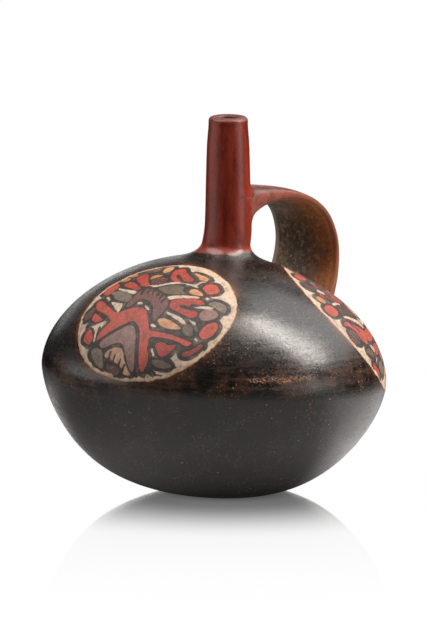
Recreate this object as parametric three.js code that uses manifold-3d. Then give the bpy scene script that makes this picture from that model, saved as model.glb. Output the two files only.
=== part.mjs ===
// A spout bottle with a strap handle, in fired clay: a lens-shaped body that leans a little, a slim upright
// spout with a narrow bore, and a flat strap that springs from the spout and lands on the shoulder behind it.
// Units are millimetres and Z is up. The Z axis is the spout's axis, the origin is on the plane the bottle
// stands on, and the handle is on the +Y side. Body, spout and handle are one piece of clay, so they are one mesh.
import * as THREE from "three";
import { mergeVertices } from "three/addons/utils/BufferGeometryUtils.js";
import Module from "manifold-3d";

const wasm = await Module();
wasm.setup();

// The body: greatest radius, heights above and below the widest ring, and the height of that ring.
const BODY_RADIUS = 90.2;
const BODY_UPPER = 63;
const BODY_LOWER = 63.6;
const BODY_CENTRE = 62.2;
// How full each half is: powers of the sine and cosine that shape a quarter of its profile.
const UPPER_BOW = { across: 1.121, up: 1.044 };
const LOWER_BOW = { across: 0.752, up: 1.31 };
const WALL = 5;
const FLOOR = 6.4;

// The body leans: it turns about the top pole, its low side faces along LOW_SIDE, and it sits off the spout.
const LEAN = THREE.MathUtils.degToRad(4);
const LOW_SIDE = new THREE.Vector2(0.829, 0.559);
const OFF_AXIS = 2.9;
// The lean is whole below the first height and gone above the second.
const LEAN_FROM = 116;
const LEAN_GONE = 142;

// The spout: radius and height up its side, the flare where it leaves the body, and the lip.
const SPOUT_SIDE = [[12.6, 131.4], [11.8, 152], [11.2, 178.5], [10.3, 193.6]];
const FLARE_RADIUS = 25;
const RIM_HEIGHT = 197.6;
const LIP = 2;
const BORE_RADIUS = 5;
const BORE_FLARE = 1.4;
const NECK_BORE = 6.5;

// The strap, seen from the side: distance behind the spout's axis and height, along its outer face.
const STRAP_OUTER = [[0, 159.4], [18, 159.7], [35.5, 158.1], [50.7, 154.5], [63, 149.3], [72.8, 140.6],
  [78.7, 126], [76.2, 108], [66.5, 87.7]];
// The strap widens all the way, and at its root it is deeper by a taper and by a web against the spout.
const STRAP = { rootWidth: 20.5, footWidth: 46, depth: 5.4, taper: 8.8, web: 5, foot: 3 };
// The share of the strap's length over which each of those dies away, and how its width grows with length.
const STRAP_TAPER = 0.226;
const STRAP_WEB = 0.085;
const STRAP_FOOT = 0.16;
const STRAP_WIDENING = 0.8;
const STRAP_SQUARENESS = 3;

const COLUMNS = 64;
const CAVITY_COLUMNS = 44;

const v2 = (pair) => new THREE.Vector2(pair[0], pair[1]);
const { smoothstep, lerp, degToRad } = THREE.MathUtils;

// A point of the body's profile: angle 0 is the top pole, 90 degrees the widest ring, 180 the bottom pole.
function bodyPoint(degrees, wall, floor) {
  const upper = degrees <= 90;
  const bow = upper ? UPPER_BOW : LOWER_BOW;
  const height = upper ? BODY_UPPER - wall : -(BODY_LOWER - floor);
  const across = Math.max(0, Math.sin(degToRad(degrees))) ** bow.across;
  const up = Math.abs(Math.cos(degToRad(degrees))) ** bow.up;
  return new THREE.Vector2((BODY_RADIUS - wall) * across, BODY_CENTRE + height * up);
}

// Where the upper half reaches a radius, as its angle in degrees.
function shoulderAngle(radius, wall) {
  return THREE.MathUtils.radToDeg(Math.asin((radius / (BODY_RADIUS - wall)) ** (1 / UPPER_BOW.across)));
}

// The body's profile from the bottom pole up to where the neck starts.
function bodyProfile(neckRadius, wall, floor, lowerSteps, upperSteps) {
  const points = [];
  for (let i = 0; i < lowerSteps; i++) points.push(bodyPoint(180 - (90 * i) / lowerSteps, wall, floor));
  points[0].x = 0;
  const last = shoulderAngle(neckRadius, wall);
  for (let i = 0; i <= upperSteps; i++) points.push(bodyPoint(lerp(90, last, i / upperSteps), wall, floor));
  return points;
}

// A hollow curve from the end of a body profile to a point on an upright wall, leaving the body along its slope.
function neckCurve(profile, top, steps) {
  const [before, end] = profile.slice(-2);
  const slope = (end.y - before.y) / (end.x - before.x);
  const corner = new THREE.Vector2(top.x, end.y + slope * (top.x - end.x));
  return new THREE.QuadraticBezierCurve(end, corner, top).getPoints(steps).slice(1);
}

// A quarter round from a point on an upright wall to the level above it.
function quarter(centre, radiusAcross, radiusUp, fromDegrees, toDegrees, steps) {
  const curve = new THREE.EllipseCurve(centre.x, centre.y, radiusAcross, radiusUp,
    degToRad(fromDegrees), degToRad(toDegrees), toDegrees < fromDegrees);
  return curve.getPoints(steps);
}

function outerProfile() {
  const points = bodyProfile(FLARE_RADIUS, 0, 0, 15, 13);
  const side = new THREE.SplineCurve(SPOUT_SIDE.map(v2));
  points.push(...neckCurve(points, v2(SPOUT_SIDE[0]), 5));
  points.push(...side.getPoints(6).slice(1));
  const lipCentre = new THREE.Vector2(SPOUT_SIDE.at(-1)[0] - LIP, RIM_HEIGHT - LIP);
  points.push(...quarter(lipCentre, LIP, LIP, 0, 90, 4));
  points.push(new THREE.Vector2(0, RIM_HEIGHT));
  return points;
}

function cavityProfile() {
  const points = bodyProfile(FLARE_RADIUS - WALL, WALL, FLOOR, 11, 9);
  points.push(...neckCurve(points, new THREE.Vector2(NECK_BORE, LEAN_GONE), 4));
  const lipCentre = new THREE.Vector2(BORE_RADIUS + BORE_FLARE, RIM_HEIGHT - BORE_FLARE);
  points.push(...quarter(lipCentre, BORE_FLARE, BORE_FLARE, 180, 90, 3));
  const above = RIM_HEIGHT + LIP;
  points.push(new THREE.Vector2(lipCentre.x, above), new THREE.Vector2(0, above));
  return points;
}

// Turns and shifts a point that was made about the spout's axis to where the leaning body has it.
function leanOver(point) {
  const share = 1 - smoothstep(point.z, LEAN_FROM, LEAN_GONE);
  const pole = BODY_CENTRE + BODY_UPPER;
  const along = point.x * LOW_SIDE.x + point.y * LOW_SIDE.y;
  const below = point.z - pole;
  const cos = Math.cos(LEAN * share);
  const sin = Math.sin(LEAN * share);
  const moved = along * cos + below * sin - OFF_AXIS * share - along;
  point.x += LOW_SIDE.x * moved;
  point.y += LOW_SIDE.y * moved;
  point.z = pole + below * cos - along * sin;
}

// Moves every vertex of a geometry by a function, and merges those that meet.
function reshaped(geometry, move) {
  geometry.deleteAttribute("normal");
  geometry.deleteAttribute("uv");
  const position = geometry.attributes.position;
  const point = new THREE.Vector3();
  for (let i = 0; i < position.count; i++) {
    move(point.fromBufferAttribute(position, i));
    position.setXYZ(i, point.x, point.y, point.z);
  }
  return mergeVertices(geometry, 1e-3);
}

function solid(geometry) {
  return new wasm.Manifold(new wasm.Mesh({
    numProp: 3,
    vertProperties: geometry.attributes.position.array,
    triVerts: new Uint32Array(geometry.index.array),
  }));
}

function leaningLathe(profile, columns) {
  const lathe = new THREE.LatheGeometry(profile, columns);
  lathe.rotateX(Math.PI / 2);
  return solid(reshaped(lathe, leanOver));
}

// A swelling of the given size at one end of a length, dying away over a share of it.
const swelling = (size, distance, share) => size * Math.exp(-((distance / share) ** 2));

// The strap is a closed cylinder bent along its outer face: its length follows the curve, and its round
// section is squared off, spread across the strap and sunk below that face.
function strap() {
  const path = new THREE.CatmullRomCurve3(STRAP_OUTER.map(([u, z]) => new THREE.Vector3(0, u, z)));
  path.arcLengthDivisions = 400;
  const squared = (value) => Math.sign(value) * Math.abs(value) ** (2 / STRAP_SQUARENESS);
  const bar = new THREE.CylinderGeometry(1, 1, 1, 20, 30);
  return solid(reshaped(bar, (point) => {
    const t = point.y + 0.5;
    const ring = Math.hypot(point.x, point.z) || 1;
    const width = lerp(STRAP.rootWidth, STRAP.footWidth, t ** STRAP_WIDENING);
    const depth = STRAP.depth + swelling(STRAP.taper, t, STRAP_TAPER) + swelling(STRAP.web, t, STRAP_WEB)
      + swelling(STRAP.foot, 1 - t, STRAP_FOOT);
    const across = (-ring * width * squared(point.x / ring)) / 2;
    const down = (depth * (1 + ring * squared(point.z / ring))) / 2;
    const along = path.getTangentAt(t);
    point.copy(path.getPointAt(t));
    point.x = across;
    point.y += along.z * down;
    point.z -= along.y * down;
  }));
}

// Everything below the plane that the bottle stands on.
function groundBlock() {
  const side = 4 * BODY_RADIUS;
  const block = new THREE.BoxGeometry(side, side, side);
  return solid(reshaped(block, (point) => {
    point.z -= side / 2;
  }));
}

// The strap runs into the body where it lands, and the hollow is cut after the two are joined.
function vesselGeometry() {
  const whole = leaningLathe(outerProfile(), COLUMNS)
    .add(strap())
    .subtract(leaningLathe(cavityProfile(), CAVITY_COLUMNS))
    .subtract(groundBlock());
  const mesh = whole.getMesh();
  const geometry = new THREE.BufferGeometry();
  geometry.setAttribute("position", new THREE.BufferAttribute(mesh.vertProperties, 3));
  geometry.setIndex(new THREE.BufferAttribute(mesh.triVerts, 1));
  geometry.computeVertexNormals();
  return geometry;
}

const blackWare = new THREE.MeshStandardMaterial({ color: 0x34302d, roughness: 0.38, metalness: 0 });

const vessel = new THREE.Mesh(vesselGeometry(), blackWare);
vessel.name = "vessel";

const bottle = new THREE.Group();
bottle.add(vessel);

export default bottle;
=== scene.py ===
"""The looks of a spout bottle with a strap handle: one fine mesh in place of the CAD node, its burnished
slips and painted panels, and a plain pale studio. Shapes are worked out in millimetres, as in the CAD."""

import math

import bmesh
import bpy
import numpy as np
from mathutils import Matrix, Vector, noise


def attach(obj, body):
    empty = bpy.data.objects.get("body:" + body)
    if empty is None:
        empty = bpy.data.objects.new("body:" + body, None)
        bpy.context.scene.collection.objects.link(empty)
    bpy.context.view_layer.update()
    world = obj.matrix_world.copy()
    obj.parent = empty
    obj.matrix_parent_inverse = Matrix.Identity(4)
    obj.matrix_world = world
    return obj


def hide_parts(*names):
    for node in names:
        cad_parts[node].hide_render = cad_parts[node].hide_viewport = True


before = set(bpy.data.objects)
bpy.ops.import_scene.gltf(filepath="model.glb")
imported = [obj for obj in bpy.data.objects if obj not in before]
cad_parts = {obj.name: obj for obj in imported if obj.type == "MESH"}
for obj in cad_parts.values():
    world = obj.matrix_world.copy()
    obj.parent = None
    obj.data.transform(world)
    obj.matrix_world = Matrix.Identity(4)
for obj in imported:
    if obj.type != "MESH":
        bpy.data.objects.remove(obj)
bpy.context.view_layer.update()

MM = 0.001

# The body, as in the CAD: greatest radius, heights above and below the widest ring, and that ring's height.
BODY_RADIUS = 90.2
BODY_UPPER = 63.0
BODY_LOWER = 63.6
BODY_CENTRE = 62.2
# How full each half is: powers of the sine and the cosine of the angle.
UPPER_BOW = (1.121, 1.044)
LOWER_BOW = (0.752, 1.31)
WALL = 5.0
FLOOR = 6.4

# The lean of the body about the top pole, and its shift off the spout's axis.
LEAN = math.radians(4)
LOW_SIDE = np.array([0.829, 0.559])
OFF_AXIS = 2.9
LEAN_FROM = 116.0
LEAN_GONE = 142.0

# The spout: radius and height up its side, the flare at its foot, and the lip.
SPOUT_SIDE = [(12.6, 131.4), (11.8, 152.0), (11.2, 178.5), (10.3, 193.6)]
FLARE_RADIUS = 25.0
RIM_HEIGHT = 197.6
LIP = 2.0
# The worn rim slopes down to one side.
RIM_SLOPE = 0.09
RIM_LOW_SIDE = (0.62, -0.78)
BORE_RADIUS = 5.0
BORE_FLARE = 1.4
NECK_BORE = 6.5

# The strap, seen from the side, along its outer face: distance behind the spout's axis and height.
STRAP_OUTER = [(0, 159.4), (18, 159.7), (35.5, 158.1), (50.7, 154.5), (63, 149.3), (72.8, 140.6),
               (78.7, 126), (76.2, 108), (66.5, 87.7)]
STRAP_ROOT_WIDTH = 20.5
STRAP_FOOT_WIDTH = 46.0
STRAP_WIDENING = 0.8
STRAP_DEPTH = 5.4
# What the strap's depth gains near its root and its foot, and the share of its length that each fades over.
STRAP_TAPER = (8.8, 0.226)
STRAP_WEB = (5.0, 0.085)
STRAP_FOOT = (3.0, 0.16)
STRAP_SQUARENESS = 3.0
STRAP_RINGS = 100
STRAP_SECTION = 64

# The lathes: columns round, millimetres and degrees of bend between rows, and cuts where detail is fine.
COLUMNS = 224
CAVITY_COLUMNS = 64
ROW_STEP = 2.5
CAVITY_ROW_STEP = 5.0
ROW_BEND = math.radians(14)
REFINE = 3
# Detail is fine this near the strap and this far past a panel's ring.
STRAP_DETAIL = 5.0
PANEL_DETAIL = 2.0

# Fillets are made above the first height. The unevenness and the rim's slope set in between two heights.
JOINTS_ABOVE = 75.0
FILLET_REACH = 4.0
SWELL_FROM = (2.0, 14.0)
RIM_SLOPE_FROM = (184.0, 196.0)
# The unevenness is a sum of waves: how many to a millimetre, how far shifted, and how high.
SWELL_WAVES = [(0.021, 0, 0.45), (0.055, 9, 0.16)]

# What fields hold away from where they count: off the panels, off their drawings, under the surface.
OFF_PANEL = -40.0
OFF_DRAWING = -3.0
UNDER_SKIN = -5.0

# The painted panels: where each lies on the body (degrees down from the top and round from the front), how
# its ring is off that point, its radius, how its drawing is turned, in degrees, and warped, and whether it is
# the drawing with its own left side.
PANELS = [
    {"down": 53.2, "round": 5.1, "offset": (-2.0, 3.0), "radius": 43.0, "turn": 0, "warp": 0, "side": False},
    {"down": 54.5, "round": 124.8, "offset": (0.0, 1.0), "radius": 44.0, "turn": 0, "warp": 0, "side": True},
    {"down": 54.0, "round": 244.5, "offset": (0.0, 0.5), "radius": 43.0, "turn": 6, "warp": 2, "side": False},
]
LINE_WIDTH = 2.3


def catmull(points, steps, closed=False):
    """Points on a smooth curve through the given ones."""
    p = np.array(points, float)
    if closed:
        ring = np.vstack([p[-1:], p, p[:2]])
    else:
        ring = np.vstack([2 * p[:1] - p[1:2], p, 2 * p[-1:] - p[-2:-1]])
    out = []
    for a, b, c, d in zip(ring[:-3], ring[1:-2], ring[2:-1], ring[3:]):
        for t in np.arange(steps) / steps:
            out.append(0.5 * (2 * b + (c - a) * t + (2 * a - 5 * b + 4 * c - d) * t ** 2
                              + (3 * b - a - 3 * c + d) * t ** 3))
    if not closed:
        out.append(p[-1])
    return np.array(out)


def smoothstep(low, high, value):
    t = np.clip((value - low) / (high - low), 0, 1)
    return t * t * (3 - 2 * t)


# The profile of the body and the spout.

def body_profile(degrees, wall=0.0, floor=0.0):
    """Radius and height at an angle from the top pole, for an array of angles."""
    t = np.radians(degrees)
    upper = degrees <= 90
    across = np.where(upper, UPPER_BOW[0], LOWER_BOW[0])
    up = np.where(upper, UPPER_BOW[1], LOWER_BOW[1])
    height = np.where(upper, BODY_UPPER - wall, floor - BODY_LOWER)
    radius = (BODY_RADIUS - wall) * np.clip(np.sin(t), 0, 1) ** across
    return np.stack([radius, BODY_CENTRE + height * np.abs(np.cos(t)) ** up], -1)


def quadratic(a, b, c, steps):
    t = np.linspace(0, 1, steps)[:, None]
    return (1 - t) ** 2 * a + 2 * t * (1 - t) * b + t ** 2 * c


def with_neck(body, top, steps=30):
    """Adds the hollow curve from the end of a body profile up to a point on an upright wall."""
    before, end = body[-2:]
    slope = (end[1] - before[1]) / (end[0] - before[0])
    corner = np.array([top[0], end[1] + slope * (top[0] - end[0])])
    return np.vstack([body, quadratic(end, corner, np.array(top, float), steps)[1:]])


def shoulder(radius, wall):
    return math.degrees(math.asin((radius / (BODY_RADIUS - wall)) ** (1 / UPPER_BOW[0])))


def arc(centre, radius, start, end, steps=12):
    t = np.radians(np.linspace(start, end, steps))
    return np.array(centre) + radius * np.stack([np.cos(t), np.sin(t)], -1)


def outer_profile():
    angles = np.concatenate([np.linspace(180, 90, 300), np.linspace(90, shoulder(FLARE_RADIUS, 0), 250)[1:]])
    points = with_neck(body_profile(angles), SPOUT_SIDE[0])
    points = np.vstack([points, catmull(SPOUT_SIDE, 20)[1:]])
    lip = arc((SPOUT_SIDE[-1][0] - LIP, RIM_HEIGHT - LIP), LIP, 0, 90)
    return np.vstack([points, lip, [(0, RIM_HEIGHT)]])


def cavity_profile():
    last = shoulder(FLARE_RADIUS - WALL, WALL)
    angles = np.concatenate([np.linspace(180, 90, 150), np.linspace(90, last, 120)[1:]])
    points = with_neck(body_profile(angles, WALL, FLOOR), (NECK_BORE, LEAN_GONE))
    lip = arc((BORE_RADIUS + BORE_FLARE, RIM_HEIGHT - BORE_FLARE), BORE_FLARE, 180, 90)
    above = RIM_HEIGHT + LIP
    return np.vstack([points, lip, [(lip[-1][0], above), (0, above)]])


OUTER = outer_profile()


def lean_over(p):
    """Moves points made about the spout's axis to where the leaning body has them."""
    share = 1 - smoothstep(LEAN_FROM, LEAN_GONE, p[..., 2])
    pole = BODY_CENTRE + BODY_UPPER
    along = p[..., 0] * LOW_SIDE[0] + p[..., 1] * LOW_SIDE[1]
    below = p[..., 2] - pole
    cos, sin = np.cos(LEAN * share), np.sin(LEAN * share)
    moved = along * cos + below * sin - OFF_AXIS * share - along
    return np.stack([p[..., 0] + LOW_SIDE[0] * moved, p[..., 1] + LOW_SIDE[1] * moved,
                     pole + below * cos - along * sin], -1)


def stand_up(p):
    """The inverse of lean_over, by a few corrections."""
    q = p.copy()
    for _ in range(5):
        q += p - lean_over(q)
    return q


def on_body(down, around):
    """A point of the outer surface, from its angle down from the top and round from the front."""
    radius, height = body_profile(np.array([float(down)]))[0]
    a = math.radians(around)
    return lean_over(np.array([radius * math.sin(a), -radius * math.cos(a), height]))


# Meshes.

def resample(profile, step):
    """A profile's arc lengths and those where it is cut into rows, closer together round tight bends."""
    length = np.concatenate([[0], np.cumsum(np.hypot(*np.diff(profile, axis=0).T))])
    heading = np.unwrap(np.arctan2(*np.diff(profile, axis=0).T))
    bend = np.concatenate([[0], np.cumsum(np.abs(np.diff(heading))), [0]])
    bend[-1] = bend[-2]
    progress = length / step + bend / ROW_BEND
    count = int(progress[-1])
    rows = np.interp(np.linspace(0, progress[-1], count + 1), progress, length)
    return length, rows


def lathe(name, profile, columns, step, refined=None):
    """A closed leaning lathe mesh. Cells that refined() picks by their centres are cut REFINE by REFINE."""
    length, rows = resample(profile, step)
    count = len(rows) - 1
    fine = np.interp(np.arange(count * REFINE + 1) / REFINE, np.arange(count + 1), rows)
    radius = np.interp(fine, length, profile[:, 0])
    height = np.interp(fine, length, profile[:, 1])

    def place(i, j):
        a = 2 * np.pi * j / (columns * REFINE)
        return lean_over(np.stack([radius[i] * np.sin(a), -radius[i] * np.cos(a), height[i]], -1))

    cell_i, cell_j = np.meshgrid(np.arange(count), np.arange(columns), indexing="ij")
    half = REFINE // 2
    centres = place(cell_i * REFINE + half, cell_j * REFINE + half)
    chosen = refined(centres) if refined else np.zeros(cell_i.shape, bool)
    numbers = {}
    spots = []

    def vertex(i, j):
        key = (i, 0 if i in (0, count * REFINE) else j % (columns * REFINE))
        if key not in numbers:
            numbers[key] = len(spots)
            spots.append(key)
        return numbers[key]

    def edge(start, stop, cut):
        steps = REFINE if cut else 1
        return [(start[0] + (stop[0] - start[0]) * k // steps, start[1] + (stop[1] - start[1]) * k // steps)
                for k in range(steps)]

    faces = []
    for i in range(count):
        for j in range(columns):
            a, b = i * REFINE, j * REFINE
            if chosen[i, j]:
                loops = [[(a + m, b + n), (a + m, b + n + 1), (a + m + 1, b + n + 1), (a + m + 1, b + n)]
                         for m in range(REFINE) for n in range(REFINE)]
            else:
                below = i > 0 and chosen[i - 1, j]
                above = i + 1 < count and chosen[i + 1, j]
                corners = [(a, b), (a, b + REFINE), (a + REFINE, b + REFINE), (a + REFINE, b)]
                cuts = [below, chosen[i, (j + 1) % columns], above, chosen[i, j - 1]]
                loops = [[p for k in range(4) for p in edge(corners[k], corners[(k + 1) % 4], cuts[k])]]
            for loop in loops:
                face = list(dict.fromkeys(vertex(*p) for p in loop))
                if len(face) > 2:
                    faces.append(face)
    spots = np.array(spots)
    return mesh_object(name, place(spots[:, 0], spots[:, 1]), faces)


def mesh_object(name, points, faces):
    mesh = bpy.data.meshes.new(name)
    mesh.from_pydata((points * MM).tolist(), [], faces)
    mesh.validate()
    piece = bpy.data.objects.new(name, mesh)
    bpy.context.scene.collection.objects.link(piece)
    return piece


STRAP_PATH = catmull(STRAP_OUTER, 40)


def strap_stations(count):
    """Places along the strap: share of its length, point on the outer face, and the way into the clay."""
    length = np.concatenate([[0], np.cumsum(np.hypot(*np.diff(STRAP_PATH, axis=0).T))])
    share = np.linspace(0, 1, count)
    point = np.stack([np.interp(share * length[-1], length, STRAP_PATH[:, k]) for k in (0, 1)], -1)
    along = np.gradient(point, axis=0)
    along /= np.linalg.norm(along, axis=1)[:, None]
    return share, point, np.stack([along[:, 1], -along[:, 0]], -1)


def strap_size(share):
    """The strap's width and depth at a share of its length."""
    width = STRAP_ROOT_WIDTH + (STRAP_FOOT_WIDTH - STRAP_ROOT_WIDTH) * share ** STRAP_WIDENING
    depth = (STRAP_DEPTH + STRAP_TAPER[0] * np.exp(-(share / STRAP_TAPER[1]) ** 2)
             + STRAP_WEB[0] * np.exp(-(share / STRAP_WEB[1]) ** 2)
             + STRAP_FOOT[0] * np.exp(-((1 - share) / STRAP_FOOT[1]) ** 2))
    return width, depth


def make_strap():
    share, point, down = strap_stations(STRAP_RINGS)
    width, depth = strap_size(share)
    a = np.arange(STRAP_SECTION) * 2 * np.pi / STRAP_SECTION
    squared = lambda v: np.sign(v) * np.abs(v) ** (2 / STRAP_SQUARENESS)
    x = width[:, None] / 2 * squared(np.cos(a))[None]
    sunk = depth[:, None] / 2 * (1 + squared(np.sin(a))[None])
    y = point[:, :1] + down[:, :1] * sunk
    z = point[:, 1:] + down[:, 1:] * sunk
    points = np.stack([x, y, z], -1).reshape(-1, 3)
    n = STRAP_SECTION
    faces = [[r * n + k, r * n + (k + 1) % n, (r + 1) * n + (k + 1) % n, (r + 1) * n + k]
             for r in range(STRAP_RINGS - 1) for k in range(n)]
    faces.append(list(range(n))[::-1])
    faces.append([(STRAP_RINGS - 1) * n + k for k in range(n)])
    return mesh_object("strap_blank", points, faces)


def combine(piece, other, operation):
    """Joins another solid to a piece or cuts it away, and drops the other."""
    cut = piece.modifiers.new("join", "BOOLEAN")
    cut.operation = operation
    cut.object = other
    cut.solver = "MANIFOLD"
    depsgraph = bpy.context.evaluated_depsgraph_get()
    result = bpy.data.meshes.new_from_object(piece.evaluated_get(depsgraph))
    piece.modifiers.clear()
    piece.data = result
    bpy.data.objects.remove(other)


def drop_fins(mesh):
    """Takes away pairs of faces that lie back to back, which joining leaves, and closes the seam."""
    same = 1e-7
    work = bmesh.new()
    work.from_mesh(mesh)
    bmesh.ops.triangulate(work, faces=work.faces[:])
    places = {}
    for face in work.faces:
        place = frozenset(tuple(round(c / same) for c in vert.co) for vert in face.verts)
        places.setdefault(place, []).append(face)
    fins = [face for faces in places.values() if len(faces) > 1 for face in faces]
    bmesh.ops.delete(work, geom=fins, context="FACES")
    bmesh.ops.remove_doubles(work, verts=work.verts[:], dist=same)
    work.to_mesh(mesh)
    work.free()


# Distances to the surfaces, in millimetres, positive outside.

def from_body(p):
    """Distance from the leaning body and spout, by every second point of their profile."""
    q = stand_up(p)
    spot = np.stack([np.hypot(q[:, 0], q[:, 1]), q[:, 2]], -1)
    a, b = OUTER[:-2:2], OUTER[2::2]
    a = a[:len(b)]
    best = np.full(len(spot), 1e9)
    signed = np.zeros(len(spot))
    for start, stop in zip(a, b):
        d = stop - start
        t = np.clip(((spot - start) @ d) / (d @ d), 0, 1)
        gap = spot - start - t[:, None] * d
        far = np.hypot(gap[:, 0], gap[:, 1])
        side = gap[:, 0] * d[1] - gap[:, 1] * d[0]
        nearer = far < best
        best[nearer] = far[nearer]
        signed[nearer] = (np.sign(side) * far)[nearer]
    return signed


STATIONS = strap_stations(300)
STATION_SIZES = strap_size(STATIONS[0])


def strap_place(p):
    """Where points lie by the strap: their nearest station, distance across, depth below its outer face."""
    _, point, down = STATIONS
    gap = p[:, None, 1:] - point[None]
    k = (gap ** 2).sum(-1).argmin(1)
    sunk = (gap[np.arange(len(p)), k] * down[k]).sum(-1)
    return k, p[:, 0], sunk


def from_strap(p):
    k, x, sunk = strap_place(p)
    a, b = STATION_SIZES[0][k] / 2, STATION_SIZES[1][k] / 2
    power = STRAP_SQUARENESS
    u, v = np.abs(x), np.abs(sunk - b)
    level = ((u / a) ** power + (v / b) ** power) ** (1 / power) + 1e-9
    slope = np.hypot(u ** (power - 1) / a ** power, v ** (power - 1) / b ** power)
    slope = slope / level ** (power - 1) + 1e-9
    return np.maximum((level - 1) / slope, STRAP_OUTER[0][0] - p[:, 1])


def fill_joints(p, reach):
    """Moves points near both the body and the strap onto a fillet between them."""
    step = 0.05
    deepest = -0.6
    for _ in range(2):
        body, strap = from_body(p), from_strap(p)
        near = (np.abs(body) < reach) & (np.abs(strap) < reach) & (np.minimum(body, strap) > deepest)
        q = p[near]
        share = np.clip(reach - np.abs(body[near] - strap[near]), 0, reach) / reach
        level = np.minimum(body[near], strap[near]) - share ** 2 * reach / 4
        weight = np.where(body[near] < strap[near], share / 2, 1 - share / 2)
        slope = np.zeros_like(q)
        for k in range(3):
            ahead = q.copy()
            ahead[:, k] += step
            slope[:, k] = ((1 - weight) * (from_body(ahead) - body[near])
                           + weight * (from_strap(ahead) - strap[near])) / step
        size = np.maximum((slope ** 2).sum(1), 0.3)
        p[near] = q - slope * (level / size)[:, None]
    return p


def swell(p):
    """The slow unevenness of a hand-built pot, in millimetres."""
    out = np.zeros(len(p))
    for k, q in enumerate(p):
        out[k] = sum(noise.noise(Vector(q * often + shift)) * high for often, shift, high in SWELL_WAVES)
    return out


# The painted drawing of a panel, in millimetres from its middle: colours and outlines of its cells.

CORAL, RED, BRICK = (186, 72, 52), (172, 54, 36), (138, 52, 38)
MAROON, PLUM, MAUVE = (88, 42, 38), (108, 68, 64), (142, 108, 98)
GREY, OLIVE, UMBER = (120, 106, 94), (98, 84, 66), (88, 62, 54)
PEACH, OCHRE, SHELL = (206, 146, 100), (186, 124, 66), (206, 158, 124)
CREAM = (214, 188, 164)

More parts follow.
